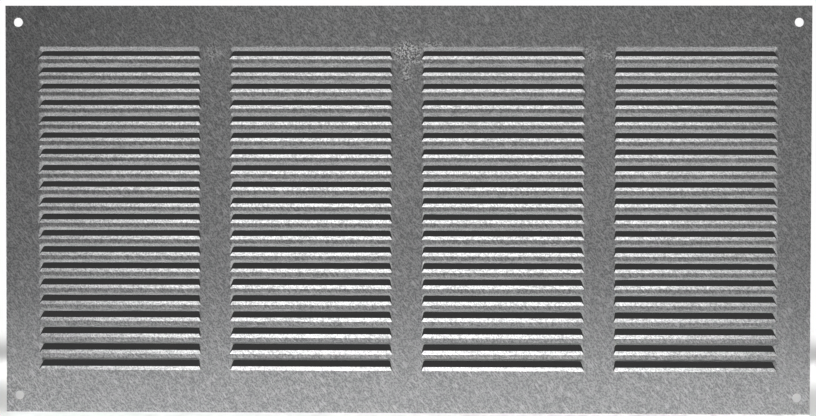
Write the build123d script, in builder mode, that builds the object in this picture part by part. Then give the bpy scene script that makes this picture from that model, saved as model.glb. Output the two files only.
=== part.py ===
from build123d import *
import math
import os

# Pressed steel ventilation grille. All sizes are in millimetres and degrees.
# It stands upright with its face towards -Y and its wall face on Y = 0, centred on the origin.

# Sheet blank
plate_width = 400.0
plate_height = 202.5
sheet = 0.5

# Screw holes, one in each corner, with their centres set in from the edges
screw_hole_diameter = 4.5
hole_side_inset = 6.4
hole_end_inset = 8.25

# Louvre field: the columns are centred, and the rows hang below the top margin
slot_length = 81.3
slot_height = 6.5
bridge = 14.2
land = 1.65
least_side_margin = 15.0
top_margin = 20.2

# Upper lip of a slot: bent back into a hood with closed ends that lean inwards
hood_angle = 70.0
hood_depth = 4.0
hood_top_inset = 1.05
hood_edge_inset = 1.3

# Lower lip of a slot: bent back into a low sill with mitred ends
sill_angle = 35.5
sill_depth = 1.2
sill_end_inset = 1.3

# As many columns and rows as the blank holds
column_pitch = slot_length + bridge
row_pitch = slot_height + land
columns = math.floor((plate_width - 2 * least_side_margin + bridge) / column_pitch)
rows = math.floor((plate_height - 2 * top_margin + land) / row_pitch)

# Height of the slots' lower edges in the middle of the field
field_height = rows * row_pitch - land
middle_edge = plate_height / 2 - top_margin - field_height / 2 - slot_height / 2

# A louvre is drawn lying down: X along the slot, Y up the plate and Z out of the face,
# with the middle of the slot's lower edge on the origin and the wall face on Z = 0.
# Every bend is pressed tight: sharp on the wall side, and as round as the sheet is thick on the face.
half_slot = slot_length / 2


# How far up or down the plate a lip reaches from the start of its bend
def lip_reach(angle, depth):
    turn = math.radians(angle)
    bend_depth = sheet * (1 - math.cos(turn))
    return sheet * math.sin(turn) + (depth - bend_depth) / math.tan(turn)


hood_edge = slot_height - lip_reach(hood_angle, hood_depth)
sill_edge = lip_reach(sill_angle, sill_depth)

# A hood's mouth is flat: it runs from the slot's lower edge to the lip, and on through the lip's thickness
hood_turn = math.radians(hood_angle)
mouth_run = Vector(hood_edge, -hood_depth)
mouth_squareness = hood_edge * math.sin(hood_turn) + hood_depth * math.cos(hood_turn)
lip_front = Vector(0, sheet) + mouth_run
lip_back = lip_front + mouth_run * (sheet / mouth_squareness)

# Inside of a hood's right-hand end wall: through the slot's corner, the top bend's end and the lip's end
slot_corner = Vector(half_slot, 0, sheet)
bend_corner = Vector(half_slot - hood_top_inset, slot_height, sheet)
lip_corner = Vector(half_slot - hood_edge_inset, lip_front.X, lip_front.Y)
wall_slope = bend_corner - slot_corner
wall_plane = Plane(slot_corner, x_dir=wall_slope, z_dir=(lip_corner - slot_corner).cross(wall_slope))

# Right half of the hollow under a hood, drawn out through the face
clear_of_face = 2 * sheet
with BuildPart() as hollow:
    with BuildSketch(Plane.YZ):
        with BuildLine():
            face_bend = JernArc((slot_height, sheet), (-1, 0), sheet, hood_angle)
            Polyline(face_bend @ 1, lip_front, (0, sheet), (0, clear_of_face))
            Polyline((0, clear_of_face), (slot_height, clear_of_face), face_bend @ 0)
        make_face()
    extrude(amount=slot_length)
    split(bisect_by=wall_plane, keep=Keep.BOTTOM)

# Hood: one sheet thick around its hollow, with the left half mirrored from the right
with BuildPart() as hood:
    with BuildSketch(Plane.YZ):
        with BuildLine():
            Polyline((slot_height, 0), lip_back, (0, sheet), (slot_height, sheet), close=True)
        make_face()
    extrude(amount=slot_length)
    split(bisect_by=wall_plane.offset(sheet), keep=Keep.BOTTOM)
    add(hollow.part, mode=Mode.SUBTRACT)
    mirror(about=Plane.YZ)

# Sill: as long as the slot at its bend, and narrowed to its free edge by the mitres
mitre_angle = math.degrees(math.atan2(sill_edge, sill_end_inset))
with BuildPart() as sill:
    with BuildSketch(Plane.YZ):
        with BuildLine():
            sill_bend = JernArc((0, sheet), (1, 0), sheet, -sill_angle)
            sill_face = Line(sill_bend @ 1, (sill_edge, sheet - sill_depth))
            sill_cut = PolarLine(sill_face @ 1, sheet, -90 - sill_angle)
            Polyline(sill_cut @ 1, (0, 0), sill_bend @ 0)
        make_face()
    extrude(amount=half_slot, both=True)
    with BuildSketch(Plane.XY.offset(sheet)):
        Trapezoid(slot_length, sill_edge, mitre_angle, align=(Align.CENTER, Align.MIN))
    extrude(amount=-(sill_depth + sheet), mode=Mode.INTERSECT)

# Slot: the window that a hood and a sill are bent out of
slot_end_angle = math.degrees(math.atan2(slot_height, hood_top_inset))
with BuildPart() as slot:
    with BuildSketch():
        Trapezoid(slot_length, slot_height, slot_end_angle, align=(Align.CENTER, Align.MIN))
    extrude(amount=sheet)

# Plate: the blank with its screw holes, and a louvre at every place of the field
hole_span = plate_width - 2 * hole_side_inset
hole_rise = plate_height - 2 * hole_end_inset
field_plane = Plane.XZ.shift_origin((0, 0, middle_edge))
places = [field_plane.location * place for place in GridLocations(column_pitch, row_pitch, columns, rows)]
with BuildPart() as louvre_plate:
    with BuildSketch(Plane.XZ):
        Rectangle(plate_width, plate_height)
        with GridLocations(hole_span, hole_rise, 2, 2):
            Circle(screw_hole_diameter / 2, mode=Mode.SUBTRACT)
    extrude(amount=sheet)
    with Locations(*places):
        add(slot.part, mode=Mode.SUBTRACT)
        add([hood.part, sill.part])

louvre_plate.part.label = "louvre_plate"
os.makedirs("parts", exist_ok=True)
export_step(louvre_plate.part, "parts/louvre_plate.step")
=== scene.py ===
import math

import bmesh
import bpy
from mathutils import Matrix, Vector


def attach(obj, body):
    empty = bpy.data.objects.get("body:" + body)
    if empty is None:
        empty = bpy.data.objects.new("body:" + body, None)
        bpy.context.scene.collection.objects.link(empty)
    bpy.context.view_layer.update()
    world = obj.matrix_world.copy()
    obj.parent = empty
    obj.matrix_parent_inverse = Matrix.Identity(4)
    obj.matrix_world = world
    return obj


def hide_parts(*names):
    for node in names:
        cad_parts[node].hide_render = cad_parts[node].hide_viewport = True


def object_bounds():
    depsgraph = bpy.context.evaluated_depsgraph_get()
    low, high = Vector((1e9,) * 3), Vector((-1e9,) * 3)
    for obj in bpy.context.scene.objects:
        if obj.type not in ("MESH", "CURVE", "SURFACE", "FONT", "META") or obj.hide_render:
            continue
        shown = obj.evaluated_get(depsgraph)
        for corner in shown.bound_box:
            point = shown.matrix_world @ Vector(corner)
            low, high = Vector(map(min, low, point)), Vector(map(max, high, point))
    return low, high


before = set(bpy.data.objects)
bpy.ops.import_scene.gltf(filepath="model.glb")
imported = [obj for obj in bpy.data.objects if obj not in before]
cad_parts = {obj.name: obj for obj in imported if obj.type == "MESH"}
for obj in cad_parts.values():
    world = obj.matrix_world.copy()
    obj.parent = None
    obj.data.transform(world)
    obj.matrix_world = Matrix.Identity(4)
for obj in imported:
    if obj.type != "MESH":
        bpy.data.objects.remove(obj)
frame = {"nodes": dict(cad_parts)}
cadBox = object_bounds()
print("frame loaded:", ", ".join(frame["nodes"]))

mm = 0.001


def linkObject(name, mesh):
    made = bpy.data.objects.new(name, mesh)
    bpy.context.scene.collection.objects.link(made)
    return made


# Small helpers for shader trees
def addNode(tree, kind, x, y, **settings):
    node = tree.nodes.new(kind)
    node.location = (x, y)
    for name, value in settings.items():
        setattr(node, name, value)
    return node


def setInput(tree, socket, value):
    if isinstance(value, bpy.types.NodeSocket):
        tree.links.new(value, socket)
    else:
        socket.default_value = value


def addMath(tree, x, y, operation, first, second):
    node = addNode(tree, "ShaderNodeMath", x, y, operation=operation)
    setInput(tree, node.inputs[0], first)
    setInput(tree, node.inputs[1], second)
    return node.outputs[0]


def addVectorMath(tree, x, y, operation, first, second):
    node = addNode(tree, "ShaderNodeVectorMath", x, y, operation=operation)
    setInput(tree, node.inputs[0], first)
    setInput(tree, node.inputs[1], second)
    return node.outputs["Value" if operation == "DISTANCE" else "Vector"]


def addRange(tree, x, y, value, fromLow, fromHigh, toLow, toHigh):
    node = addNode(tree, "ShaderNodeMapRange", x, y, interpolation_type="SMOOTHSTEP")
    for socket, given in zip(node.inputs, (value, fromLow, fromHigh, toLow, toHigh)):
        setInput(tree, socket, given)
    return node.outputs[0]


def addMix(tree, x, y, share, first, second):
    node = addNode(tree, "ShaderNodeMix", x, y, data_type="RGBA")
    setInput(tree, node.inputs["Factor"], share)
    setInput(tree, node.inputs[6], first)
    setInput(tree, node.inputs[7], second)
    return node.outputs[2]


def newGroup(name, inputs, outputs):
    group = bpy.data.node_groups.new(name, "ShaderNodeTree")
    for label, kind in inputs:
        group.interface.new_socket(name=label, in_out="INPUT", socket_type="NodeSocket" + kind)
    for label in outputs:
        group.interface.new_socket(name=label, in_out="OUTPUT", socket_type="NodeSocketFloat")
    source = addNode(group, "NodeGroupInput", -900, 0)
    sink = addNode(group, "NodeGroupOutput", 700, 0)
    return group, source.outputs, sink.inputs


def useGroup(tree, group, x, y, **values):
    node = addNode(tree, "ShaderNodeGroup", x, y, node_tree=group)
    for name, value in values.items():
        setInput(tree, node.inputs[name], value)
    return node.outputs


# Zinc effects: slant in degrees, and the noise levels at which each mask starts and is full
zincEffects = {
    "slant": 52,
    "grainStretch": 1.4,
    "grainLevels": (0.34, 0.66),
    "grainShare": 0.85,
    "facetLevels": (0.35, 0.65),
    "streakStretch": 8.0,
    "streakLevels": (0.64, 0.72),
    "patchReach": (0.45, 1.1),
    "speckLevels": (0.48, 0.62),
    "pitLevels": (0.36, 0.46),
}


# Turns the place so that textures run slantwise down the plate, drawn out by the stretch
def slantPlace(group, x, y, place, stretch):
    turned = addNode(group, "ShaderNodeMapping", x, y, vector_type="TEXTURE")
    turned.inputs["Rotation"].default_value = (0, math.radians(zincEffects["slant"]), 0)
    turned.inputs["Scale"].default_value = (stretch, 1, 1)
    setInput(group, turned.inputs["Vector"], place)
    return turned.outputs[0]


def addNoise(group, x, y, place, size, detail):
    noise = addNode(group, "ShaderNodeTexNoise", x, y)
    noise.inputs["Detail"].default_value = detail
    setInput(group, noise.inputs["Vector"], place)
    setInput(group, noise.inputs["Scale"], addMath(group, x - 200, y - 150, "DIVIDE", 1 / mm, size))
    return noise.outputs


# Zinc crystals: fine grains over larger facets, sizes in millimetres
def makeSpangle():
    group, given, out = newGroup(
        "zincSpangle",
        [("Vector", "Vector"), ("Grain", "Float"), ("Facet", "Float")],
        ["Tone", "Height"])
    slanted = slantPlace(group, -700, 250, given["Vector"], zincEffects["grainStretch"])
    grains = addNoise(group, -300, 250, slanted, given["Grain"], detail=1.0)
    grainTone = addRange(group, -50, 250, grains["Fac"], *zincEffects["grainLevels"], 0.0, 1.0)
    facets = addNoise(group, -300, -200, given["Vector"], given["Facet"], detail=2.0)
    facetTone = addRange(group, -50, -200, facets["Fac"], *zincEffects["facetLevels"], 0.0, 1.0)
    fine = addMath(group, 200, 200, "MULTIPLY", grainTone, zincEffects["grainShare"])
    broad = addMath(group, 200, 0, "MULTIPLY", facetTone, 1 - zincEffects["grainShare"])
    setInput(group, out["Tone"], addMath(group, 450, 100, "ADD", fine, broad))
    setInput(group, out["Height"], grainTone)
    return group


# Slanting strokes that the zinc bath leaves, short and thin
def makeStreaks():
    group, given, out = newGroup("zincStreaks", [("Vector", "Vector"), ("Width", "Float")], ["Mask"])
    slanted = slantPlace(group, -700, 100, given["Vector"], zincEffects["streakStretch"])
    strokes = addNoise(group, -300, 100, slanted, given["Width"], detail=0.0)
    mask = addRange(group, 0, 0, strokes["Fac"], *zincEffects["streakLevels"], 0.0, 1.0)
    setInput(group, out["Mask"], mask)
    return group


# A ragged patch of rough zinc, in pale specks and dark pits
def makeFrost():
    group, given, out = newGroup(
        "frostedPatch",
        [("Vector", "Vector"), ("Centre", "Vector"), ("Size", "Vector"),
         ("Ragged", "Float"), ("Speckle", "Float")],
        ["Specks", "Pits"])
    noiseMiddle = (0.5, 0.5, 0.5)
    moved = addVectorMath(group, -600, 200, "SUBTRACT", given["Vector"], given["Centre"])
    scaled = addVectorMath(group, -420, 200, "DIVIDE", moved, given["Size"])
    wander = addNoise(group, -420, -50, given["Vector"], given["Ragged"], detail=2.0)
    strayed = addVectorMath(group, -240, 200, "ADD", scaled, wander["Color"])
    reach = addVectorMath(group, -60, 200, "DISTANCE", strayed, noiseMiddle)
    body = addRange(group, 120, 200, reach, *zincEffects["patchReach"], 1.0, 0.0)
    grit = addNoise(group, -420, -400, given["Vector"], given["Speckle"], detail=1.0)
    pale = addRange(group, -60, -300, grit["Fac"], *zincEffects["speckLevels"], 0.0, 1.0)
    dark = addRange(group, -60, -550, grit["Fac"], *zincEffects["pitLevels"], 1.0, 0.0)
    setInput(group, out["Specks"], addMath(group, 350, 100, "MULTIPLY", body, pale))
    setInput(group, out["Pits"], addMath(group, 350, -150, "MULTIPLY", body, dark))
    return group


spangleGroup = makeSpangle()
streakGroup = makeStreaks()
frostGroup = makeFrost()
print("zinc effects made")

# Zinc on the faces and on the cut edges; patches give centre, half size and strength, in millimetres
zincFinish = {
    "darkTone": (0.27, 0.271, 0.274, 1),
    "lightTone": (0.575, 0.577, 0.58, 1),
    "frostTone": (0.95, 0.95, 0.95, 1),
    "pitTone": (0.2, 0.2, 0.2, 1),
    "streakTone": (0.72, 0.72, 0.725, 1),
    "streakShare": 0.75,
    "grain": 0.68,
    "facet": 3.0,
    "streakWidth": 0.6,
    "polished": 0.29,
    "dull": 0.37,
    "frosted": 0.7,
    "relief": 0.02,
    "frostPatches": [
        ((-0.6, 0, 78.4), (9.5, 20, 6.5), 1.0),
        ((-0.3, 0, 68), (3.2, 20, 8), 0.8),
        ((13.5, 0, 82.4), (7.5, 20, 1.6), 0.8),
        ((5.5, 0, 73.4), (8.5, 20, 0.9), 1.0),
        ((-96.7, 0, 78.2), (5.5, 20, 6), 0.6),
        ((90.3, 0, 77.2), (4.6, 20, 5.5), 0.6),
        ((99.7, 0, 76.4), (4.2, 20, 3.6), 0.75),
        ((-2.1, 0, 36.9), (4.5, 20, 0.5), 0.9),
        ((188.7, 0, 32.3), (3, 20, 2.2), 0.4),
    ],
    "ragged": 3.5,
    "speckle": 0.75,
    "cutTone": (0.38, 0.38, 0.385, 1),
    "cutRough": 0.55,
    "cutGrain": 0.35,
    "cutFacet": 0.9,
}


def newMaterial(name):
    material = bpy.data.materials.new(name)
    material.use_nodes = True
    tree = material.node_tree
    return material, tree, tree.nodes["Principled BSDF"]


def makeZincFace():
    material, tree, surface = newMaterial("zincFace")
    place = addNode(tree, "ShaderNodeTexCoord", -1800, 0).outputs["Object"]
    spangle = useGroup(tree, spangleGroup, -1200, 300, Vector=place,
                       Grain=zincFinish["grain"], Facet=zincFinish["facet"])
    streaks = useGroup(tree, streakGroup, -1200, 0, Vector=place, Width=zincFinish["streakWidth"])
    specks = 0.0
    pits = 0.0
    for turn, (centre, size, strength) in enumerate(zincFinish["frostPatches"]):
        down = -250 - 260 * turn
        patch = useGroup(tree, frostGroup, -1500, down, Vector=place, Centre=Vector(centre) * mm,
                         Size=Vector(size) * mm, Ragged=zincFinish["ragged"], Speckle=zincFinish["speckle"])
        pale = addMath(tree, -1250, down, "MULTIPLY", patch["Specks"], strength)
        dark = addMath(tree, -1250, down - 120, "MULTIPLY", patch["Pits"], strength)
        specks = addMath(tree, -1050, down, "MAXIMUM", pale, specks)
        pits = addMath(tree, -1050, down - 120, "MAXIMUM", dark, pits)
    colour = addMix(tree, -700, 300, spangle["Tone"], zincFinish["darkTone"], zincFinish["lightTone"])
    streakShare = addMath(tree, -900, 50, "MULTIPLY", streaks["Mask"], zincFinish["streakShare"])
    colour = addMix(tree, -500, 250, streakShare, colour, zincFinish["streakTone"])
    colour = addMix(tree, -300, 200, pits, colour, zincFinish["pitTone"])
    colour = addMix(tree, -100, 200, specks, colour, zincFinish["frostTone"])
    setInput(tree, surface.inputs["Base Color"], colour)
    rough = addRange(tree, -700, -50, spangle["Tone"], 0, 1, zincFinish["dull"], zincFinish["polished"])
    rough = addRange(tree, -300, -100, specks, 0, 1, rough, zincFinish["frosted"])
    setInput(tree, surface.inputs["Roughness"], rough)
    surface.inputs["Metallic"].default_value = 1.0
    bump = addNode(tree, "ShaderNodeBump", -300, -400)
    bump.inputs["Distance"].default_value = zincFinish["relief"] * mm
    height = addMath(tree, -500, -400, "ADD", spangle["Height"], streaks["Mask"])
    setInput(tree, bump.inputs["Height"], height)
    setInput(tree, surface.inputs["Normal"], bump.outputs["Normal"])
    return material


def makeZincCut():
    material, tree, surface = newMaterial("zincCut")
    place = addNode(tree, "ShaderNodeTexCoord", -1200, 0).outputs["Object"]
    spangle = useGroup(tree, spangleGroup, -900, 200, Vector=place,
                       Grain=zincFinish["cutGrain"], Facet=zincFinish["cutFacet"])
    colour = addMix(tree, -400, 200, spangle["Tone"], zincFinish["cutTone"], zincFinish["lightTone"])
    setInput(tree, surface.inputs["Base Color"], colour)
    rough = addRange(tree, -400, -100, spangle["Tone"], 0, 1, zincFinish["cutRough"], zincFinish["dull"])
    setInput(tree, surface.inputs["Roughness"], rough)
    surface.inputs["Metallic"].default_value = 1.0
    return material


# Louvred plate, in millimetres and degrees
plate = {
    "sheet": 0.5,
    "bendRadius": 0.6,
    "bendShare": 0.4,  # a bend takes up no more of its lip
    "edgeRound": 0.05,
    "edgeSegments": 2,
    "shortestRounded": 0.2,  # the short steps of a bend stay sharp
    "weld": 0.001,
    "holeDiameter": 4.5,
    "holeSideInset": 6.4,
    "holeEndInset": 8.25,
    "holeSides": 40,
    "columns": 4,
    "rows": 20,
    "slotLength": 81.3,
    "slotHeight": 6.5,
    "bridge": 14.2,
    "land": 1.65,
    "topMargin": 20.2,
    "hoodAngle": 70.0,
    "hoodDepth": 4.0,
    "hoodTopInset": 1.05,
    "hoodEdgeInset": 1.3,
    "hoodCorner": 0.9,
    "sillAngle": 35.5,
    "sillDepth": 1.2,
    "sillEndInset": 1.3,
    "wallSteps": 6,
    "cornerSteps": 4,
    "bendSteps": 6,
}


# Circular arc that rounds a corner between two equal legs
def roundCorner(start, corner, end, steps):
    weight = math.sin((start - corner).angle(end - corner, math.pi) / 2)
    points = []
    for step in range(steps + 1):
        t = step / steps
        shares = ((1 - t) ** 2, 2 * t * (1 - t) * weight, t ** 2)
        points.append((start * shares[0] + corner * shares[1] + end * shares[2]) / sum(shares))
    return points


# A louvre is drawn from the middle of its lower edge: x along the slot, y up the plate, z into the wall.
# Its hood is a row of profiles round the slot, from the right-hand corner over the top to the left-hand one.
def hoodProfiles():
    half = plate["slotLength"] / 2
    turn = math.radians(plate["hoodAngle"])
    creaseTop = plate["slotHeight"] - plate["sheet"] * math.tan(turn / 2)
    topInset = plate["hoodTopInset"] * creaseTop / plate["slotHeight"]
    creaseCorner = Vector((half - topInset, creaseTop, 0))
    hoodEdge = creaseTop - plate["hoodDepth"] / math.tan(turn)
    lipCorner = Vector((half - plate["hoodEdgeInset"], hoodEdge, plate["hoodDepth"]))
    slotCorner = Vector((half, 0, 0))

    # Right half of a rail: up the end wall, and round onto the roof
    def endRail(corner):
        way = (corner - slotCorner).normalized() * plate["hoodCorner"]
        turnStart = corner - way
        climb = [slotCorner.lerp(turnStart, step / plate["wallSteps"]) for step in range(plate["wallSteps"])]
        across = corner - Vector((plate["hoodCorner"], 0, 0))
        return climb + roundCorner(turnStart, corner, across, plate["cornerSteps"])

    def wholeRail(corner):
        right = endRail(corner)
        return right + [Vector((-point.x, point.y, point.z)) for point in reversed(right)]

    creases = wholeRail(creaseCorner)
    mouths = wholeRail(lipCorner)
    profiles = []
    for index, (crease, mouth) in enumerate(zip(creases, mouths)):
        along = creases[min(index + 1, len(creases) - 1)] - creases[max(index - 1, 0)]
        outward = Vector((along.y, -along.x, 0)).normalized()
        inward = mouth - crease
        bend = math.pi - outward.angle(inward, math.pi)
        setback = min(plate["bendRadius"] * math.tan(bend / 2), plate["bendShare"] * inward.length)
        arc = roundCorner(crease + outward * setback, crease, crease + inward.normalized() * setback,
                          plate["bendSteps"])
        profiles.append(arc + [mouth])
    return profiles


# Left-hand and right-hand ends of the sill's rows, from the slot's lower edge to its free edge
def sillRows():
    half = plate["slotLength"] / 2
    turn = math.radians(plate["sillAngle"])
    setback = plate["bendRadius"] * math.tan(turn / 2)
    rise = Vector((0, math.cos(turn), math.sin(turn)))
    crease = Vector((0, setback, 0))
    freeEdge = crease + rise * (plate["sillDepth"] / math.sin(turn))
    line = roundCorner(Vector((0, 0, 0)), crease, crease + rise * setback, plate["bendSteps"]) + [freeEdge]
    rows = []
    for point in line:
        reach = half - plate["sillEndInset"] * point.y / freeEdge.y
        rows.append((Vector((-reach, point.y, point.z)), Vector((reach, point.y, point.z))))
    return rows


def buildPlate():
    mesh = bmesh.new()
    low, high = cadBox

    def addFace(points, column=0.0, row=0.0):
        corners = [(mm * (column + p.x), low.y + mm * p.z, mm * (row + p.y)) for p in points]
        mesh.faces.new([mesh.verts.new(corner) for corner in corners])

    def flat(x, z):
        return Vector((x, z, 0))

    # Cells of the blank: a margin all round, and one cell for each louvre
    pitchX = plate["slotLength"] + plate["bridge"]
    pitchZ = plate["slotHeight"] + plate["land"]
    left = low.x / mm
    right = high.x / mm
    bottom = low.z / mm
    top = high.z / mm
    fieldTop = top - plate["topMargin"] + plate["land"] / 2
    fieldLeft = -plate["columns"] * pitchX / 2
    xLines = [left] + [fieldLeft + pitchX * n for n in range(plate["columns"] + 1)] + [right]
    zLines = [bottom] + [fieldTop - pitchZ * n for n in range(plate["rows"], -1, -1)] + [top]

    hood = hoodProfiles()
    sill = sillRows()
    root = [profile[0] for profile in hood]
    middle = len(root) // 2

    def addLouvre(x0, x1, z0):
        column = (x0 + x1) / 2
        row = z0 + plate["land"] / 2
        reachX = pitchX / 2
        below = -plate["land"] / 2
        above = plate["slotHeight"] + plate["land"] / 2
        corners = [flat(-reachX, below), flat(reachX, below), flat(reachX, above), flat(-reachX, above)]
        addFace([corners[1], corners[2]] + root[middle - 1::-1], column, row)
        addFace([corners[3], corners[0]] + root[:middle - 1:-1], column, row)
        addFace([root[middle], root[middle - 1], corners[2], corners[3]], column, row)
        addFace([corners[0], corners[1], root[0], root[-1]], column, row)
        for first, second in zip(hood, hood[1:]):
            for step in range(len(first) - 1):
                addFace([first[step], second[step], second[step + 1], first[step + 1]], column, row)
        for under, over in zip(sill, sill[1:]):
            addFace([under[0], under[1], over[1], over[0]], column, row)

    def addHoleCell(x0, x1, z0, z1):
        centre = flat(math.copysign(right - plate["holeSideInset"], x0 + x1),
                      math.copysign(top - plate["holeEndInset"], z0 + z1))
        sides = plate["holeSides"]
        ring = []
        for side in range(sides + 1):
            angle = -math.pi / 4 - 2 * math.pi * side / sides  # clockwise from the lower right
            ring.append(centre + flat(math.cos(angle), math.sin(angle)) * (plate["holeDiameter"] / 2))
        addFace([flat(x0, z0), flat(x1, z0)] + ring[:sides // 2 + 1] + [flat(x0, z1)])
        addFace([flat(x1, z0), flat(x1, z1), flat(x0, z1)] + ring[sides // 2:])

    for ix, (x0, x1) in enumerate(zip(xLines, xLines[1:])):
        for iz, (z0, z1) in enumerate(zip(zLines, zLines[1:])):
            atSide = ix in (0, len(xLines) - 2)
            atEnd = iz in (0, len(zLines) - 2)
            if atSide and atEnd:
                addHoleCell(x0, x1, z0, z1)
            elif atSide or atEnd:
                addFace([flat(x0, z0), flat(x1, z0), flat(x1, z1), flat(x0, z1)])
            else:
                addLouvre(x0, x1, z0)
    bmesh.ops.remove_doubles(mesh, verts=mesh.verts, dist=plate["weld"] * mm)
    mesh.normal_update()

    # Back of the sheet, and the cut edge between the two faces
    faces = list(mesh.faces)
    cutLoops = [edge.link_loops[0] for edge in mesh.edges if edge.is_boundary]
    cutPairs = [(loop.vert, loop.link_loop_next.vert) for loop in cutLoops]
    behind = {}
    for vert in list(mesh.verts):
        behind[vert] = mesh.verts.new(vert.co - vert.normal * plate["sheet"] * mm)
    for face in faces:
        mesh.faces.new([behind[vert] for vert in reversed(face.verts)])
    weights = mesh.edges.layers.float.new("bevel_weight_edge")
    for first, second in cutPairs:
        rim = mesh.faces.new((second, first, behind[first], behind[second]))
        rim.material_index = 1
        if (first.co - second.co).length > plate["shortestRounded"] * mm:
            mesh.edges.get((first, second))[weights] = 1.0
            mesh.edges.get((behind[first], behind[second]))[weights] = 1.0
    for face in mesh.faces:
        face.smooth = True
    data = bpy.data.meshes.new("louvrePlate")
    mesh.to_mesh(data)
    mesh.free()
    data.materials.append(makeZincFace())
    data.materials.append(makeZincCut())
    return linkObject("louvrePlate", data)


louvrePlate = buildPlate()
edgeBevel = louvrePlate.modifiers.new("edgeRound", "BEVEL")
edgeBevel.limit_method = "WEIGHT"
edgeBevel.width = plate["edgeRound"] * mm
edgeBevel.segments = plate["edgeSegments"]
edgeBevel.use_clamp_overlap = False
louvrePlate.modifiers.new("flatShading", "WEIGHTED_NORMAL")
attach(louvrePlate, "root")
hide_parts("louvre_plate")
print("plate pressed:", len(louvrePlate.data.polygons), "faces")

# Studio, in metres, degrees and watts
studio = {
    "floorTone": (0.86, 0.86, 0.86, 1),
    "wallTone": (0.9, 0.9, 0.9, 1),
    "paintRough": 0.9,
    "floorSize": 16.0,
    "floorCentre": (0, -2.2, 0),  # middle of the plain floor, in front of the plate
    "plainReach": 2.38,
    "whiteReach": 2.53,
    "wallDistance": 2.6,
    # painted shade: the fixed dark tone of the sheet behind the slots and of the flag
    "shadeTone": (0.036, 0.036, 0.036, 1),
    "shadeGap": 0.002,
    "shadeSideMargin": 0.002,
    "shadeEndMargin": 0.001,
    "flagDistance": 1.0,
    "flagSize": (2.1, 0.6),
    "worldTone": (0.075, 0.075, 0.075, 1),
    "softboxes": {
        "overheadBox": {"place": (0, -0.52, 1.24), "aim": (0, 0, 0),
                        "size": (1.15, 0.62), "spread": 180, "power": 6.25},
        "highBox": {"place": (0, -1, 0.95), "aim": (0, 0, 0),
                    "size": (1, 0.4), "spread": 180, "power": 2.4},
        "backBox": {"place": (0, 0.6, 1.5), "aim": (0, 1.3, -0.1),
                    "size": (1.6, 0.6), "spread": 85, "power": 3.2},
        "rearBox": {"place": (0, 0.5, 0.3), "aim": (0, 0.12, -0.1),
                    "size": (0.8, 0.05), "spread": 11, "power": 0.22},
        "footBox": {"place": (0, -0.5, 0.25), "aim": (0, -0.08, -0.1),
                    "size": (0.9, 0.05), "spread": 20, "power": 0.46},
        "frontBox": {"place": (0.2, -1.7, 0.15), "aim": (0, 0, 0),
                     "size": (1.7, 0.6), "spread": 180, "power": 1.1},
    },
}


def makeSheet(name, centre, acrossX, upwards, material):
    data = bpy.data.meshes.new(name)
    corners = [centre - acrossX - upwards, centre + acrossX - upwards,
               centre + acrossX + upwards, centre - acrossX + upwards]
    data.from_pydata([tuple(corner) for corner in corners], [], [(0, 1, 2, 3)])
    data.materials.append(material)
    made = linkObject(name, data)
    return made


# A stage sheet shows its tone in front, and lets every ray through from behind
def oneSided(tree, front):
    clear = addNode(tree, "ShaderNodeBsdfTransparent", 100, -200)
    side = addNode(tree, "ShaderNodeNewGeometry", 100, 300)
    mixed = addNode(tree, "ShaderNodeMixShader", 350, 0)
    setInput(tree, mixed.inputs[0], side.outputs["Backfacing"])
    setInput(tree, mixed.inputs[1], front)
    setInput(tree, mixed.inputs[2], clear.outputs[0])
    setInput(tree, tree.nodes["Material Output"].inputs["Surface"], mixed.outputs[0])


# Plain white to the camera and in reflections, by the share given
def addGlow(tree, surface, share):
    path = addNode(tree, "ShaderNodeLightPath", -900, 300)
    seen = addMath(tree, -650, 300, "MAXIMUM", path.outputs["Is Camera Ray"], path.outputs["Is Glossy Ray"])
    seen = addMath(tree, -450, 300, "MAXIMUM", seen, path.outputs["Is Transmission Ray"])
    glow = addNode(tree, "ShaderNodeEmission", -250, 100)
    lit = addNode(tree, "ShaderNodeMixShader", -50, 100)
    setInput(tree, lit.inputs[0], addMath(tree, -250, 300, "MULTIPLY", seen, share))
    setInput(tree, lit.inputs[1], surface.outputs[0])
    setInput(tree, lit.inputs[2], glow.outputs[0])
    return lit.outputs[0]


# The floor is plain round the plate, where it takes the shadow, and turns as white as the wall further off
def makeFloorTone():
    material, tree, surface = newMaterial("paleFloor")
    surface.inputs["Base Color"].default_value = studio["floorTone"]
    surface.inputs["Roughness"].default_value = studio["paintRough"]
    place = addNode(tree, "ShaderNodeNewGeometry", -1300, 0).outputs["Position"]
    levelled = addVectorMath(tree, -1100, 0, "MULTIPLY", place, (1, 1, 0))
    reach = addVectorMath(tree, -900, 0, "DISTANCE", levelled, studio["floorCentre"])
    share = addRange(tree, -700, 0, reach, studio["plainReach"], studio["whiteReach"], 0.0, 1.0)
    oneSided(tree, addGlow(tree, surface, share))
    return material


def makeWallTone():
    material, tree, surface = newMaterial("whiteWall")
    surface.inputs["Base Color"].default_value = studio["wallTone"]
    surface.inputs["Roughness"].default_value = studio["paintRough"]
    oneSided(tree, addGlow(tree, surface, 1.0))
    return material


# Painted shade: a fixed dark glow that no lamp changes, for the sheet behind the slots and the flag in
# reflections
def makeShadeTone():
    material, tree, surface = newMaterial("slotShade")
    tree.nodes.remove(surface)
    dark = addNode(tree, "ShaderNodeEmission", -50, 100)
    dark.inputs["Color"].default_value = studio["shadeTone"]
    oneSided(tree, dark.outputs[0])
    return material
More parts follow.
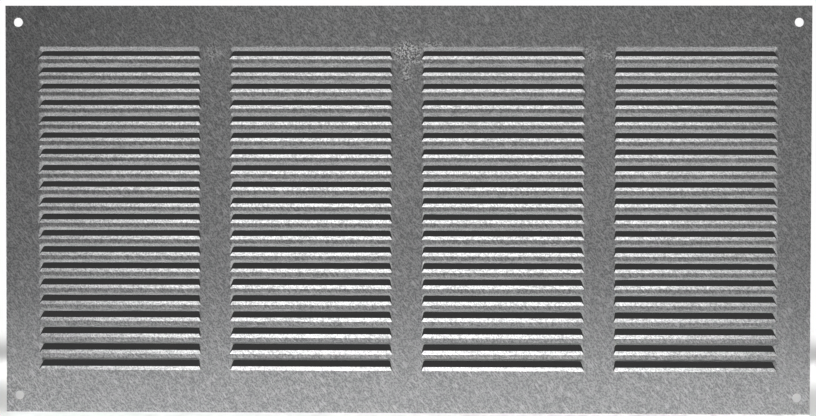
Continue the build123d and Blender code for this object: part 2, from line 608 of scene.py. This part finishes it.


# Painted shade behind the slots: a sheet of fixed dark tone close behind the louvres, which the camera sees
# only through them,
# and a painted dark reflection: a flag of the same tone further off, which the camera never sees and the
# slots' ends reflect
def addSlotShade():
    low, high = cadBox
    field = mm * (plate["columns"] * (plate["slotLength"] + plate["bridge"]) - plate["bridge"])
    rise = mm * (plate["rows"] * (plate["slotHeight"] + plate["land"]) - plate["land"])
    centre = Vector((0, high.y + studio["shadeGap"], high.z - mm * plate["topMargin"] - rise / 2))
    acrossX = Vector((field / 2 + studio["shadeSideMargin"], 0, 0))
    upwards = Vector((0, 0, rise / 2 + studio["shadeEndMargin"]))
    dark = makeShadeTone()
    shade = makeSheet("slotShade", centre, acrossX, upwards, dark)
    flagWidth, flagHeight = studio["flagSize"]
    flagCentre = Vector((0, studio["flagDistance"], low.z + flagHeight / 2))
    flagAcross = Vector((flagWidth / 2, 0, 0))
    flagUpwards = Vector((0, 0, flagHeight / 2))
    flag = makeSheet("paintedShadeFlag", flagCentre, flagAcross, flagUpwards, dark)
    shade.visible_glossy = False
    flag.visible_camera = False
    for sheet in (shade, flag):
        sheet.visible_diffuse = False
        sheet.visible_transmission = False
        sheet.visible_shadow = False


def buildStudio():
    half = studio["floorSize"] / 2
    ground = cadBox[0].z
    makeSheet("floor", Vector((0, studio["wallDistance"] - half, ground)), Vector((half, 0, 0)),
              Vector((0, half, 0)), makeFloorTone())
    makeSheet("wall", Vector((0, studio["wallDistance"], ground + half)), Vector((half, 0, 0)),
              Vector((0, 0, half)), makeWallTone())
    addSlotShade()
    bpy.context.scene.world = bpy.data.worlds.new("studioAir")
    bpy.context.scene.world.use_nodes = True
    air = bpy.context.scene.world.node_tree.nodes["Background"]
    air.inputs["Color"].default_value = studio["worldTone"]
    for name, values in studio["softboxes"].items():
        lamp = bpy.data.lights.new(name, "AREA")
        lamp.shape = "RECTANGLE"
        lamp.size, lamp.size_y = values["size"]
        lamp.spread = math.radians(values["spread"])
        lamp.energy = values["power"]
        box = linkObject(name, lamp)
        box.location = values["place"]
        box.rotation_euler = (Vector(values["aim"]) - box.location).to_track_quat("-Z", "Y").to_euler()
        box.visible_camera = False


buildStudio()
print("studio lit")

# Camera where the photograph was taken from: millimetres and degrees
photoCamera = {
    "place": (6.24, -530.09, 8.57),
    "turn": (89.174, -0.099, 0.62),
    "focalPixels": 1066,
    "imageWidth": 816,
    "sensorWidth": 36,
    "clipStart": 10,
}
lens = bpy.data.cameras.new("photoCamera")
lens.sensor_width = photoCamera["sensorWidth"]
lens.lens = photoCamera["focalPixels"] / photoCamera["imageWidth"] * lens.sensor_width
lens.clip_start = photoCamera["clipStart"] * mm
eye = linkObject("photoCamera", lens)
eye.location = Vector(photoCamera["place"]) * mm
eye.rotation_euler = [math.radians(angle) for angle in photoCamera["turn"]]
bpy.context.scene.camera = eye
bpy.context.scene.view_settings.view_transform = "Standard"
print("camera set")
